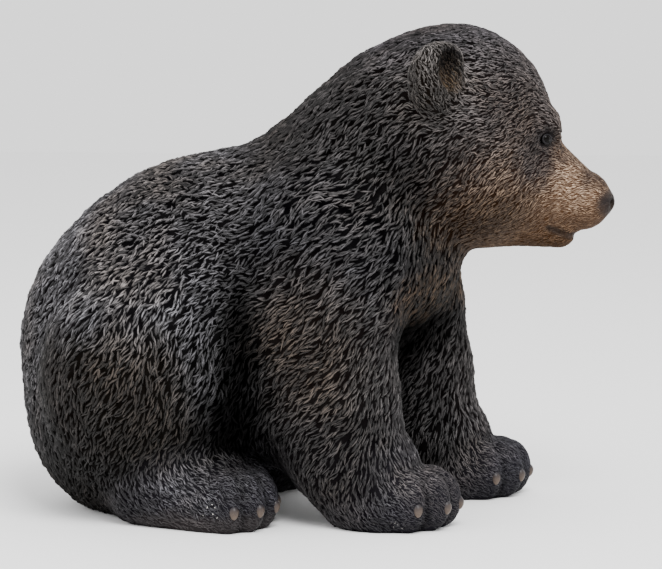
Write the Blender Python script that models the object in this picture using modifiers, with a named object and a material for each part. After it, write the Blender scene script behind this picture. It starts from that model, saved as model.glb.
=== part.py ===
# A seated bear cub figurine, cast in one piece.
# The cub looks along +X, its left side is +Y, and it sits on the floor plane Z = 0. The origin is
# on the floor under the middle of the cub's box.
# Its form is a set of rounded lumps that blend into each other. The skin is a voxel mesh of the
# lumps, pulled onto the blended surface and carved with locks of fur. Eyes and claws are joined on.

import math

import bmesh
import bpy
import numpy as np
from mathutils import Matrix, Vector

# Driving dimensions, in metres
CUB_HEIGHT = 0.282  # from the floor to the crown of the head
EYE_RADIUS = 0.0046
CLAW_LENGTH = 0.0088
CLAW_RADIUS = 0.0029  # at the claw's thickest
CLAW_PITCH = 74  # degrees that a claw points below the horizon
CLAW_DROP = 0.0015  # how far a claw's middle lies below its toe's
LOCK_LENGTH = 0.026  # a carved lock of fur, from root to tip
LOCK_WIDTH = 0.0095
LOCK_DEPTH = 0.0030  # how far a lock stands over the groove round it
SKIN_STEP = 0.0022  # edge length of the skin before it is thinned
SKIN_TRIANGLES = 8500  # of the skin after it is thinned

# The form is written in millimetres of a pattern this tall, and scaled to CUB_HEIGHT.
PATTERN_HEIGHT = 282.0
SCALE = CUB_HEIGHT / PATTERN_HEIGHT

LEFT, RIGHT = 1, -1
SIDES = (RIGHT, LEFT)
# The left feet stand this far ahead of the right ones, in pattern millimetres.
FORELEG_LEAD = {RIGHT: 0.0, LEFT: 38.0}
HIND_LEAD = {RIGHT: 0.0, LEFT: 8.0}
# Middle of the left eye; the right one mirrors it.
EYE_PLACE = np.array([130.0, 19.5, 217.5])


def ball(centre, radii, blend, comb, turn=0.0, cut=False):
    """An ellipsoid lump. blend is the width of its fillet, comb the way its fur lies, and turn its
    heading in degrees about the vertical."""
    return {
        "kind": "ball",
        "start": np.array(centre, float),
        "end": np.array(centre, float),
        "radii": np.array(radii, float),
        "turn": math.radians(turn),
        "blend": blend,
        "comb": np.array(comb, float),
        "cut": cut,
    }


def limb(start, end, start_radius, end_radius, blend, comb, width=1.0, cut=False):
    """A rounded, tapered bar between two points. width is its share of sideways thickness."""
    return {
        "kind": "limb",
        "start": np.array(start, float),
        "end": np.array(end, float),
        "radii": np.array([start_radius, end_radius, width], float),
        "turn": 0.0,
        "blend": blend,
        "comb": np.array(comb, float),
        "cut": cut,
    }


def torso():
    return [
        ball((-85, 0, 93), (88.5, 73, 93), 1, (-0.7, 0, -0.7)),  # rump
        ball((-98, 0, 47), (66, 66, 56), 22, (-0.3, 0, -1)),  # seat
        ball((-52, 0, 137), (84, 66, 71), 20, (-1, 0, -0.4)),  # back
        ball((-36, 0, 86), (72, 66, 72), 26, (-0.3, 0, -1)),  # belly
        limb((50, 0, 212), (-12, 0, 152), 56.5, 61, 18, (-0.7, 0, -0.8)),  # neck
        ball((32, 0, 152), (52, 62, 52), 12, (-0.2, 0, -1)),  # chest
        ball((8, 0, 104), (38, 42, 38), 16, (-0.2, 0, -1)),  # breast between the forelegs
    ]


# Bearing of each toe, in degrees from straight ahead
TOE_BEARINGS = (-66, -33, 0, 33, 66)
TOE_RADII = (14.0, 9.0, 17.0)


def toe_frames(centre, height, reach, spread, heading):
    """Middle and outward heading of each toe, round the front of a paw."""
    turn = math.radians(heading)
    frames = []
    for bearing in TOE_BEARINGS:
        ahead = reach * math.cos(math.radians(bearing))
        aside = spread * math.sin(math.radians(bearing))
        middle = (
            centre[0] + ahead * math.cos(turn) - aside * math.sin(turn),
            centre[1] + ahead * math.sin(turn) + aside * math.cos(turn),
            height,
        )
        frames.append((middle, bearing * 0.75 + heading))
    return frames


def hind_toes(side):
    middle = (HIND_LEAD[side] - 49, 58 * side)
    return toe_frames(middle, height=15, reach=19, spread=17, heading=12 * side)


def fore_toes(side):
    middle = (FORELEG_LEAD[side] + 45, 48 * side)
    return toe_frames(middle, height=16, reach=27, spread=18, heading=3 * side)


def toes(frames):
    return [ball(middle, TOE_RADII, 4.5, (0.9, 0, -0.5), turn=heading) for middle, heading in frames]


def hind_leg(side):
    ankle = (HIND_LEAD[side] - 62, 52 * side, 24)
    instep = (HIND_LEAD[side] - 50, 58 * side, 14)
    return [
        ball((-100, 52 * side, 82), (52, 38, 61), 10, (-0.4, 0, -0.9)),  # thigh
        limb((-96, 40 * side, 26), ankle, 26, 21, 10, (0.4, 0, -0.9)),  # shank
        limb((-92, 50 * side, 18), instep, 22, 26, 6, (0.9, 0, -0.5)),  # foot
        *toes(hind_toes(side)),
    ]


def foreleg(side):
    lead = FORELEG_LEAD[side]
    return [
        ball((8 + 0.55 * lead, 47 * side, 148), (46, 33, 54), 20, (-0.7, 0, -0.8)),  # shoulder
        ball((8 + 0.95 * lead, 49 * side, 110), (40, 34, 48), 14, (-0.7, 0, -0.9)),  # upper arm
        ball((12 + lead, 48 * side, 69), (40, 32, 46), 12, (-0.5, 0, -1)),  # forearm
        ball((27 + lead, 47 * side, 33), (35.5, 31, 29), 12, (0.2, 0, -1)),  # wrist
        ball((42 + lead, 48 * side, 14), (36, 29, 23), 5, (0.8, 0, -0.6)),  # paw
        *toes(fore_toes(side)),
    ]


def head():
    parts = [
        ball((77.5, 0, 226), (56.5, 51, 55.5), 16, (-1, 0, -0.4)),  # skull
        ball((90, 0, 195), (44, 46, 40), 14, (-0.8, 0, -0.7)),  # cheeks
        limb((112, 0, 193.5), (152, 0, 181.5), 37.5, 17, 8, (-1, 0, -0.1), width=0.84),  # muzzle
        limb((125, 0, 206.5), (155.5, 0, 183), 14, 8, 5, (-1, 0, 0.2)),  # bridge of the nose
        limb((98, 0, 173), (139, 0, 164), 18, 10, 5, (-1, 0, -0.1)),  # lower jaw
        ball((161.5, 0, 180.5), (9.6, 11.5, 8.5), 2, (-1, 0, 0)),  # nose pad
    ]
    for side in SIDES:
        eye = EYE_PLACE * (1, side, 1)
        parts += [
            ball((119, 12 * side, 222), (21, 16, 17), 8, (-1, 0, 0.2)),  # brow
            ball((70, 50 * side, 251), (13, 17, 21), 5, (-0.4, 0, 0.9), turn=35 * side),  # ear
            ball((76, 51 * side, 262), (8, 12, 10), 5, (-0.4, 0, 0.9), turn=35 * side),  # ear tip
            ball((83, 59 * side, 258), (11, 11, 13), 3, (-0.4, 0, 0.9), turn=35 * side, cut=True),
            ball(eye + (7, 5 * side, -1), (9, 7, 6), 4, (-1, 0, 0), cut=True),  # eye hollow
            ball((170, 5.5 * side, 179.5), (3.6, 2.4, 2.8), 1, (-1, 0, 0), cut=True),  # nostril
        ]
        mouth = [(150, 0, 161), (146, 9 * side, 161), (138, 17 * side, 163), (129, 24 * side, 168)]
        for near, far in zip(mouth, mouth[1:]):
            parts.append(limb(near, far, 1.7, 1.5, 1.2, (-1, 0, 0), cut=True))
    return parts


LUMPS = torso() + head()
for one_side in SIDES:
    LUMPS += hind_leg(one_side) + foreleg(one_side)


def lump_distance(points, lump):
    """Roughly how far each point lies outside a lump, in pattern millimetres."""
    offset = points - lump["start"]
    if lump["kind"] == "ball":
        cosine, sine = math.cos(lump["turn"]), math.sin(lump["turn"])
        ahead = offset[:, 0] * cosine + offset[:, 1] * sine
        aside = offset[:, 1] * cosine - offset[:, 0] * sine
        offset = np.stack([ahead, aside, offset[:, 2]], axis=1) / lump["radii"]
        near = np.linalg.norm(offset, axis=1)
        slope = np.linalg.norm(offset / lump["radii"], axis=1)
        return near * (near - 1) / np.maximum(slope, 1e-9)
    axis = lump["end"] - lump["start"]
    start_radius, end_radius, width = lump["radii"]
    share = np.clip(offset @ axis / (axis @ axis), 0, 1)
    offset = offset - share[:, None] * axis
    offset[:, 1] /= width
    return np.linalg.norm(offset, axis=1) - start_radius - share * (end_radius - start_radius)


def blended(one, other, width):
    """The smaller of two distances, with a fillet where they are close."""
    overlap = np.maximum(width - np.abs(one - other), 0) / width
    return np.minimum(one, other) - overlap * overlap * width / 4


FAR = 40.0  # a lump further than this from a point leaves it alone


def form_distance(points):
    """Distance outside the blended form, good within a few centimetres of its surface."""
    whole = np.full(len(points), FAR)
    for lump in sorted(LUMPS, key=lambda part: part["cut"]):
        low = np.minimum(lump["start"], lump["end"]) - lump["radii"].max() - FAR / 2
        high = np.maximum(lump["start"], lump["end"]) + lump["radii"].max() + FAR / 2
        near = np.flatnonzero(np.all((points > low) & (points < high), axis=1))
        distance = lump_distance(points[near], lump)
        if lump["cut"]:
            whole[near] = -blended(-whole[near], distance, lump["blend"])
        else:
            whole[near] = blended(whole[near], distance, lump["blend"])
    return whole


CORNERS = np.array([[1, 1, 1], [1, -1, -1], [-1, 1, -1], [-1, -1, 1]], float)


def form_normal(points, reach=0.3):
    """Outward unit normal of the blended form near each point."""
    slope = sum(form_distance(points + reach * way)[:, None] * way for way in CORNERS)
    return slope / np.maximum(np.linalg.norm(slope, axis=1), 1e-9)[:, None]


def pulled(points, rounds=3):
    """The points moved onto the blended form."""
    for _ in range(rounds):
        points = points - form_distance(points)[:, None] * form_normal(points)
    return points


def fur_flow(points, normal):
    """Unit direction in which the fur lies at each point, from root to tip."""
    flow = np.zeros_like(points)
    fade = 9.0
    for lump in LUMPS:
        if not lump["cut"]:
            nearness = np.exp(-np.abs(lump_distance(points, lump)) / fade)
            flow += nearness[:, None] * lump["comb"] / np.linalg.norm(lump["comb"])
    flow -= np.sum(flow * normal, axis=1)[:, None] * normal
    return flow / np.maximum(np.linalg.norm(flow, axis=1), 1e-9)[:, None]


def scrambled(cells, salt):
    """A repeatable number from 0 to 1 for each whole-number cell."""
    mixed = cells @ np.array([127.1, 311.7, 74.7]) + salt * 53.3
    return np.mod(np.sin(mixed) * 43758.5453, 1.0)


def lock_relief(points, flow, length, width):
    """Height from 0 to 1 of a coat of tapered locks, each the size given, laid along flow."""
    pitch = math.sqrt(length * width) * 0.8
    home = np.floor(points / pitch)
    best = np.zeros(len(points))
    for step in np.ndindex(3, 3, 3):
        cell = home + np.array(step) - 1
        root = np.stack([scrambled(cell, salt) for salt in range(3)], axis=1)
        offset = points - (cell + root) * pitch
        along = np.sum(offset * flow, axis=1) / length
        across = np.linalg.norm(offset - (along * length)[:, None] * flow, axis=1) / width
        taper = np.clip(0.75 - 0.9 * along, 0.1, 1.0)
        height = 1 - (across / taper) ** 2 - (2 * along) ** 2
        best = np.maximum(best, height * (0.8 + 0.4 * along))
    return best


def bare_share(points):
    """1 where the cast is smooth, such as the nose, the muzzle's tip and the toes, down to 0 in fur."""
    muzzle_tip = np.linalg.norm(points - np.array([158, 0, 174]), axis=1)
    eyes = np.linalg.norm(np.abs(points) - EYE_PLACE, axis=1)
    face = np.clip((52 - muzzle_tip) / 30, 0, 1)
    lids = np.clip((20 - eyes) / 8, 0, 1)
    feet = np.clip((26 - points[:, 2]) / 14, 0, 1)
    return np.maximum(np.maximum(face, lids), feet)


def unit_sphere():
    bm = bmesh.new()
    bmesh.ops.create_uvsphere(bm, u_segments=32, v_segments=16, radius=1)
    mesh = bpy.data.meshes.new("unit_sphere")
    bm.to_mesh(mesh)
    bm.free()
    return mesh


def lump_mesh(bm, sphere, lump):
    """Adds closed meshes that fill one lump: the ball itself, or a row of beads along the limb."""
    if lump["kind"] == "ball":
        turn = Matrix.Rotation(lump["turn"], 4, "Z")
        beads = [(lump["start"], turn @ Matrix.Diagonal((*lump["radii"], 1.0)))]
    else:
        start_radius, end_radius, width = lump["radii"]
        beads = []
        for share in np.linspace(0, 1, 12):
            radius = start_radius + share * (end_radius - start_radius)
            centre = lump["start"] + share * (lump["end"] - lump["start"])
            beads.append((centre, Matrix.Diagonal((radius, radius * width, radius, 1.0))))
    for centre, shape in beads:
        bead = sphere.copy()
        bead.transform(Matrix.Translation(centre) @ shape)
        bm.from_mesh(bead)
        bpy.data.meshes.remove(bead)


def linked(name, bm, collection):
    mesh = bpy.data.meshes.new(name)
    bm.to_mesh(mesh)
    bm.free()
    made = bpy.data.objects.new(name, mesh)
    collection.objects.link(made)
    return made


def settle_modifiers(obj):
    """Replaces the object's mesh by what its modifiers make of it."""
    graph = bpy.context.evaluated_depsgraph_get()
    settled = bpy.data.meshes.new_from_object(obj.evaluated_get(graph))
    obj.modifiers.clear()
    obj.data = settled


def vertex_array(mesh):
    places = np.empty(len(mesh.vertices) * 3)
    mesh.vertices.foreach_get("co", places)
    return places.reshape(-1, 3)


def set_vertices(mesh, places):
    mesh.vertices.foreach_set("co", places.astype(np.float32).ravel())
    mesh.update()


def voxel_skin(obj, step):
    remesh = obj.modifiers.new("skin", "REMESH")
    remesh.mode = "VOXEL"
    remesh.voxel_size = step
    settle_modifiers(obj)


def carved_skin(collection):
    """The furred skin of the whole cub, in metres, before it is thinned."""
    bm = bmesh.new()
    sphere = unit_sphere()
    for lump in LUMPS:
        if not lump["cut"]:
            lump_mesh(bm, sphere, lump)
    skin = linked("bear_cub", bm, collection)
    step = SKIN_STEP / SCALE
    voxel_skin(skin, 1.6 * step)
    set_vertices(skin.data, pulled(vertex_array(skin.data), rounds=4))
    voxel_skin(skin, step)
    places = pulled(vertex_array(skin.data))
    normal = form_normal(places)
    flow = fur_flow(places, normal)
    relief = lock_relief(places, flow, LOCK_LENGTH / SCALE, LOCK_WIDTH / SCALE)
    lift = (relief - 0.5) * (1 - bare_share(places)) * LOCK_DEPTH / SCALE
    set_vertices(skin.data, (places + lift[:, None] * normal) * SCALE)
    return skin


def thin(obj, triangles):
    """Collapses edges until about this many triangles are left."""
    obj.data.calc_loop_triangles()
    decimate = obj.modifiers.new("thin", "DECIMATE")
    decimate.ratio = triangles / len(obj.data.loop_triangles)
    decimate.use_collapse_triangulate = True
    settle_modifiers(obj)


def cut_flat(obj, height):
    """Cuts the mesh off at a height and closes it with flat soles."""
    bm = bmesh.new()
    bm.from_mesh(obj.data)
    everything = bm.verts[:] + bm.edges[:] + bm.faces[:]
    bmesh.ops.bisect_plane(
        bm,
        geom=everything,
        dist=1e-5,
        plane_co=(0, 0, height),
        plane_no=(0, 0, -1),
        clear_outer=True,
    )
    rims = [edge for edge in bm.edges if edge.is_boundary]
    bmesh.ops.holes_fill(bm, edges=rims, sides=0)
    bmesh.ops.triangulate(bm, faces=[face for face in bm.faces if len(face.verts) > 3])
    bm.to_mesh(obj.data)
    bm.free()


def centre_over_origin(obj):
    """Moves the mesh so that the middle of its box lies over the origin."""
    places = vertex_array(obj.data)
    middle = (places.min(axis=0) + places.max(axis=0)) / 2
    set_vertices(obj.data, places - middle * (1, 1, 0))


def eyeball(side):
    bm = bmesh.new()
    bmesh.ops.create_icosphere(bm, subdivisions=2, radius=EYE_RADIUS)
    bmesh.ops.translate(bm, verts=bm.verts, vec=EYE_PLACE * (1, side, 1) * SCALE)
    return bm


def claw_seat(toe):
    """Middle of the claw on the front of a toe, sunk a little into its skin, in metres."""
    middle, heading = toe
    bearing = math.radians(heading)
    ahead = np.array([math.cos(bearing), math.sin(bearing), 0])
    front = (np.array(middle) + TOE_RADII[0] * ahead) * SCALE - (0, 0, CLAW_DROP)
    return pulled(front[None] / SCALE)[0] * SCALE - 0.35 * CLAW_RADIUS * ahead


def claw(toe):
    """A short horn that hugs the front of a toe, its point bent down towards the floor."""
    bm = bmesh.new()
    bmesh.ops.create_uvsphere(bm, u_segments=6, v_segments=4, radius=1)
    bmesh.ops.rotate(bm, verts=bm.verts, matrix=Matrix.Rotation(math.radians(90), 3, "Y"))
    for vert in bm.verts:
        along = vert.co.x
        taper = 1 - 0.45 * max(along, 0)
        vert.co.x = along * CLAW_LENGTH / 2
        vert.co.y *= CLAW_RADIUS * taper
        vert.co.z = vert.co.z * CLAW_RADIUS * taper - 0.25 * CLAW_RADIUS * along * along
    outward = Matrix.Rotation(math.radians(toe[1]), 4, "Z")
    down = Matrix.Rotation(math.radians(CLAW_PITCH), 4, "Y")
    place = Matrix.Translation(Vector(claw_seat(toe)))
    bmesh.ops.transform(bm, verts=bm.verts, matrix=place @ outward @ down)
    return bm


def join_on(skin, added, tools):
    """Unites the skin with one small closed mesh."""
    tool = linked("added", added, tools)
    union = skin.modifiers.new("added", "BOOLEAN")
    union.operation = "UNION"
    union.object = tool
    settle_modifiers(skin)
    bpy.data.objects.remove(tool)


def resin():
    """Dark painted resin: near black, with a dull sheen."""
    material = bpy.data.materials.new("painted_resin")
    material.use_nodes = True
    shader = material.node_tree.nodes["Principled BSDF"]
    shader.inputs["Base Color"].default_value = (0.035, 0.033, 0.033, 1)
    shader.inputs["Roughness"].default_value = 0.6
    shader.inputs["Metallic"].default_value = 0.0
    return material


def main():
    for old in list(bpy.data.objects):
        bpy.data.objects.remove(old)
    collection = bpy.data.collections.new("bear_cub")
    bpy.context.scene.collection.children.link(collection)
    skin = carved_skin(collection)
    thin(skin, SKIN_TRIANGLES)
    for side in SIDES:
        join_on(skin, eyeball(side), collection)
        for toe in hind_toes(side) + fore_toes(side):
            join_on(skin, claw(toe), collection)
    cut_flat(skin, 0.0)
    centre_over_origin(skin)
    skin.data.materials.append(resin())


main()
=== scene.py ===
import math

import bmesh
import bpy
import numpy as np
from mathutils import Matrix, Vector
from mathutils.bvhtree import BVHTree
from mathutils.kdtree import KDTree


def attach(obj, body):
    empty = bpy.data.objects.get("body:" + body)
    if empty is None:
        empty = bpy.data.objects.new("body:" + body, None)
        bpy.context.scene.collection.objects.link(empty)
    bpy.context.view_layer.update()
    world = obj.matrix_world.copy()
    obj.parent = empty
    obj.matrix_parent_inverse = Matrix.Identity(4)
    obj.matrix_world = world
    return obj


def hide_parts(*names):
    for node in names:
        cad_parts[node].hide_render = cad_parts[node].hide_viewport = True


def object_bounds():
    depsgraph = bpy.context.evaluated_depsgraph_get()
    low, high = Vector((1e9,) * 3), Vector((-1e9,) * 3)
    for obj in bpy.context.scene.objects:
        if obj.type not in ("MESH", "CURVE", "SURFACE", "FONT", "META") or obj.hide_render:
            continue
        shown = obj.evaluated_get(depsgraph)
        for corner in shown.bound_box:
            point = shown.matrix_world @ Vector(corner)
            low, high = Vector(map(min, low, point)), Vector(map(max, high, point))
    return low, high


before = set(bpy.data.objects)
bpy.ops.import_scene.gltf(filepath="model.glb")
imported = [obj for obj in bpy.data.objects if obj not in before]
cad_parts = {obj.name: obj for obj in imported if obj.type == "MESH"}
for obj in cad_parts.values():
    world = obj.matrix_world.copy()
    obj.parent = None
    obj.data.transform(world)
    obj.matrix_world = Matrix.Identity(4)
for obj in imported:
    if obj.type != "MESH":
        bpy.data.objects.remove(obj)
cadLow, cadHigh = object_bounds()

# A seated bear cub, cast in resin and painted. It looks along +X and its left side is +Y.
# The form is worked out in millimetres, as in the casting's pattern, and written in metres.

metre = 0.001  # one pattern millimetre
left, right = 1, -1
sides = (right, left)
seed = 21


# Coats: how the fur is carved and painted in each region

bare = {"length": 2.0, "width": 0.8, "height": 0.1, "jitter": 10, "curl": 10, "cover": 0,
        "sharp": 1}
coats = {
    # length, width and height of a lock in mm; jitter and curl in degrees; cover is the share
    # furred; groove and tip are the paint in the hollows and on the ridges, in screen colours;
    # a sharp coat belongs to its own lump and hardly spreads
    "rump": {"length": 7.5, "width": 1.85, "height": 1.15, "jitter": 18, "curl": 45, "cover": 1,
             "groove": (15, 14, 15), "tip": (124, 122, 126)},
    "back": {"length": 6.5, "width": 1.75, "height": 1.15, "jitter": 22, "curl": 60, "cover": 1,
             "groove": (13, 12, 13), "tip": (104, 102, 105)},
    "thigh": {"length": 8.5, "width": 1.85, "height": 1.15, "jitter": 14, "curl": 40, "cover": 1,
              "groove": (15, 14, 13), "tip": (76, 73, 72)},
    "shoulder": {"length": 9.0, "width": 1.85, "height": 1.2, "jitter": 15, "curl": 45, "cover": 1,
                 "groove": (10, 9, 11), "tip": (82, 81, 85)},
    "arm": {"length": 8.5, "width": 1.75, "height": 1.1, "jitter": 10, "curl": 30, "cover": 1,
            "groove": (19, 17, 17), "tip": (100, 96, 95)},
    "neck": {"length": 8.5, "width": 1.75, "height": 1.2, "jitter": 12, "curl": 40, "cover": 1,
             "groove": (10, 8, 8), "tip": (68, 65, 65)},
    "chest": {"length": 9.0, "width": 1.85, "height": 1.2, "jitter": 12, "curl": 35, "cover": 1,
              "groove": (6, 5, 5), "tip": (72, 66, 62)},
    "crown": {"length": 4.8, "width": 1.3, "height": 0.75, "jitter": 14, "curl": 30, "cover": 1,
              "groove": (22, 19, 19), "tip": (105, 98, 97)},
    "cheek": {"length": 5.4, "width": 1.35, "height": 0.8, "jitter": 10, "curl": 25, "cover": 1,
              "groove": (34, 25, 19), "tip": (166, 141, 120)},
    "muzzle": {"length": 3.0, "width": 0.85, "height": 0.32, "jitter": 9, "curl": 15, "cover": 1,
               "groove": (70, 51, 37), "tip": (248, 214, 182)},
    "bridge": {"length": 2.8, "width": 0.85, "height": 0.28, "jitter": 9, "curl": 15, "cover": 1,
               "groove": (48, 38, 32), "tip": (120, 102, 90)},
    "jaw": {"length": 3.6, "width": 0.95, "height": 0.4, "jitter": 9, "curl": 15, "cover": 1,
            "groove": (40, 26, 12), "tip": (118, 88, 52)},
    "ear": {"length": 4.0, "width": 1.2, "height": 0.7, "jitter": 20, "curl": 35, "cover": 1,
            "groove": (20, 17, 15), "tip": (128, 122, 118)},
    "paw": {"length": 3.8, "width": 1.2, "height": 0.5, "jitter": 18, "curl": 45, "cover": 1,
            "groove": (21, 20, 23), "tip": (98, 96, 102)},
    "toe": {"length": 3.2, "width": 1.0, "height": 0.3, "jitter": 16, "curl": 30, "cover": 0.8,
            "groove": (28, 27, 31), "tip": (78, 77, 84)},
    "nose": {**bare, "groove": (22, 20, 22), "tip": (30, 28, 30)},
    "nostril": {**bare, "groove": (5, 4, 4), "tip": (8, 7, 7)},
    "mouth": {**bare, "groove": (24, 17, 13), "tip": (42, 31, 25)},
    "lid": {**bare, "groove": (22, 20, 22), "tip": (44, 41, 44)},
    "hollow": {"length": 3.0, "width": 1.0, "height": 0.3, "jitter": 25, "curl": 25, "cover": 0.6,
               "groove": (6, 5, 3), "tip": (60, 46, 28), "sharp": 1},
}
styleNames = ("length", "width", "height", "jitter", "curl", "cover")


# The form: rounded lumps that blend into each other

def ball(centre, radii, blend, comb, coat, turn=0.0, cut=False):
    return {"kind": "ball", "start": np.array(centre, float), "end": np.array(centre, float),
            "radii": np.array(radii, float), "turn": math.radians(turn), "blend": blend,
            "comb": np.array(comb, float), "coat": coat, "cut": cut}


def limb(start, end, startRadius, endRadius, blend, comb, coat, width=1.0, cut=False):
    return {"kind": "limb", "start": np.array(start, float), "end": np.array(end, float),
            "radii": np.array([startRadius, endRadius, width], float), "blend": blend,
            "comb": np.array(comb, float), "coat": coat, "cut": cut}


pose = {
    "forelegLead": {right: 0.0, left: 38.0},  # mm that each forepaw stands ahead
    "hindLead": {right: 0.0, left: 8.0},
    "toeBearings": (-66, -33, 0, 33, 66),  # degrees from straight ahead
    "toeRadii": (14.0, 9.0, 17.0),
    "middle": np.array([-1.57, 0.0, 0.0]),  # mm, the part of the form that stands over the origin
    "eye": np.array([130.0, 19.5, 217.5]),  # the left eye; the right one mirrors it
    "mouth": ((150, 0, 161), (146.5, 6, 161.4), (141, 9.8, 163), (134, 12.2, 166)),
}


def torso():
    return [
        ball((-85, 0, 93), (88.5, 73, 93), 1, (-0.7, 0, -0.7), "rump"),
        ball((-98, 0, 47), (66, 66, 56), 22, (-0.3, 0, -1), "thigh"),
        ball((-52, 0, 137), (84, 66, 71), 20, (-1, 0, -0.4), "back"),
        ball((-36, 0, 86), (72, 66, 72), 26, (-0.3, 0, -1), "shoulder"),
        limb((50, 0, 212), (-12, 0, 152), 56.5, 61, 18, (-0.7, 0, -0.8), "neck"),
        ball((32, 0, 152), (52, 62, 52), 12, (-0.2, 0, -1), "chest"),
        ball((8, 0, 104), (38, 42, 38), 16, (-0.2, 0, -1), "chest"),
    ]


def toeFrames(centre, height, reach, spread, heading):
    turn = math.radians(heading)
    frames = []
    for bearing in pose["toeBearings"]:
        ahead = reach * math.cos(math.radians(bearing))
        aside = spread * math.sin(math.radians(bearing))
        middle = (centre[0] + ahead * math.cos(turn) - aside * math.sin(turn),
                  centre[1] + ahead * math.sin(turn) + aside * math.cos(turn), height)
        frames.append((middle, bearing * 0.75 + heading))
    return frames


def hindToes(side):
    return toeFrames((pose["hindLead"][side] - 49, 58 * side), 15, 19, 17, 12 * side)


def foreToes(side):
    return toeFrames((pose["forelegLead"][side] + 45, 48 * side), 16, 27, 18, 3 * side)


def toes(frames):
    return [ball(middle, pose["toeRadii"], 4.5, (0.9, 0, -0.5), "toe", turn=heading)
            for middle, heading in frames]


def hindLeg(side):
    lead = pose["hindLead"][side]
    return [
        ball((-100, 52 * side, 82), (52, 38, 61), 10, (-0.4, 0, -0.9), "thigh"),
        limb((-96, 40 * side, 26), (lead - 62, 52 * side, 24), 26, 21, 10, (0.4, 0, -0.9), "thigh"),
        limb((-92, 50 * side, 18), (lead - 50, 58 * side, 14), 22, 26, 6, (0.9, 0, -0.5), "paw"),
        *toes(hindToes(side)),
    ]


def foreleg(side):
    lead = pose["forelegLead"][side]
    return [
        ball((8 + 0.55 * lead, 47 * side, 148), (46, 33, 54), 20, (-1, 0, -0.7), "shoulder"),
        ball((8 + 0.95 * lead, 49 * side, 110), (40, 34, 48), 14, (-1, 0, -0.8), "arm"),
        ball((12 + lead, 48 * side, 69), (40, 32, 46), 12, (-0.85, 0, -1), "arm"),
        ball((27 + lead, 47 * side, 33), (35.5, 31, 29), 12, (-0.2, 0, -1), "arm"),
        ball((42 + lead, 48 * side, 14), (36, 29, 23), 5, (0.8, 0, -0.6), "paw"),
        *toes(foreToes(side)),
    ]


def head():
    parts = [
        ball((77.5, 0, 226), (56.5, 51, 55.5), 16, (-1, 0, -0.4), "crown"),
        ball((90, 0, 195), (44, 46, 40), 14, (-0.8, 0, -0.7), "cheek"),
        limb((112, 0, 193.5), (152, 0, 181.5), 37.5, 17, 8, (-1, 0, -0.1), "muzzle", width=0.84),
        limb((125, 0, 206.5), (155.5, 0, 183), 14, 8, 5, (-1, 0, 0.2), "bridge"),
        limb((98, 0, 173), (139, 0, 164), 18, 10, 5, (-1, 0, -0.1), "jaw"),
        ball((161.5, 0, 180.5), (9.6, 11.5, 8.5), 2, (-1, 0, 0), "nose"),
    ]
    for side in sides:
        eye = pose["eye"] * (1, side, 1)
        parts += [
            ball((119, 12 * side, 222), (21, 16, 17), 8, (-1, 0, 0.2), "crown"),
            ball((70, 50 * side, 251), (13, 17, 21), 5, (-0.4, 0, 0.9), "ear", turn=35 * side),
            ball((76, 51 * side, 262), (8, 12, 10), 5, (-0.4, 0, 0.9), "ear", turn=35 * side),
            ball((83, 59 * side, 258), (11, 11, 13), 3, (-0.4, 0, 0.9), "hollow", turn=35 * side,
                 cut=True),
            ball(eye + (7, 5 * side, -1), (9, 7, 6), 4, (-1, 0, 0), "lid", cut=True),
            ball((170, 5.5 * side, 179.5), (3.6, 2.4, 2.8), 1, (-1, 0, 0), "nostril", cut=True),
        ]
        mouth = [(x, y * side, z) for x, y, z in pose["mouth"]]
        for near, far in zip(mouth, mouth[1:]):
            parts.append(limb(near, far, 1.3, 1.1, 1.2, (-1, 0, 0), "mouth", cut=True))
    return parts


lumps = torso() + head()
for oneSide in sides:
    lumps += hindLeg(oneSide) + foreleg(oneSide)
farAway = 40.0  # a lump further than this from a point leaves it alone


def lumpDistance(points, lump):
    offset = points - lump["start"]
    if lump["kind"] == "ball":
        cosine, sine = math.cos(lump["turn"]), math.sin(lump["turn"])
        ahead = offset[:, 0] * cosine + offset[:, 1] * sine
        aside = offset[:, 1] * cosine - offset[:, 0] * sine
        offset = np.stack([ahead, aside, offset[:, 2]], axis=1) / lump["radii"]
        near = np.linalg.norm(offset, axis=1)
        slope = np.linalg.norm(offset / lump["radii"], axis=1)
        return near * (near - 1) / np.maximum(slope, 1e-9)
    axis = lump["end"] - lump["start"]
    startRadius, endRadius, width = lump["radii"]
    share = np.clip(offset @ axis / (axis @ axis), 0, 1)
    offset = offset - share[:, None] * axis
    offset[:, 1] /= width
    return np.linalg.norm(offset, axis=1) - startRadius - share * (endRadius - startRadius)


def blended(one, other, width):
    overlap = np.maximum(width - np.abs(one - other), 0) / width
    return np.minimum(one, other) - overlap * overlap * width / 4


def formDistance(points):
    whole = np.full(len(points), farAway)
    for lump in sorted(lumps, key=lambda part: part["cut"]):
        low = np.minimum(lump["start"], lump["end"]) - lump["radii"].max() - farAway / 2
        high = np.maximum(lump["start"], lump["end"]) + lump["radii"].max() + farAway / 2
        near = np.flatnonzero(np.all((points > low) & (points < high), axis=1))
        distance = lumpDistance(points[near], lump)
        if lump["cut"]:
            whole[near] = -blended(-whole[near], distance, lump["blend"])
        else:
            whole[near] = blended(whole[near], distance, lump["blend"])
    return whole


corners = np.array([[1, 1, 1], [1, -1, -1], [-1, 1, -1], [-1, -1, 1]], float)


def formNormal(points, reach=0.3):
    slope = sum(formDistance(points + reach * way)[:, None] * way for way in corners)
    return slope / np.maximum(np.linalg.norm(slope, axis=1), 1e-9)[:, None]


def pulled(points, rounds=3):
    for _ in range(rounds):
        points = points - formDistance(points)[:, None] * formNormal(points)
    return points


def unit(vectors):
    return vectors / np.maximum(np.linalg.norm(vectors, axis=-1, keepdims=True), 1e-9)


def linear(screenColour):
    return (np.array(screenColour, float) / 255) ** 2.2


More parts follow.
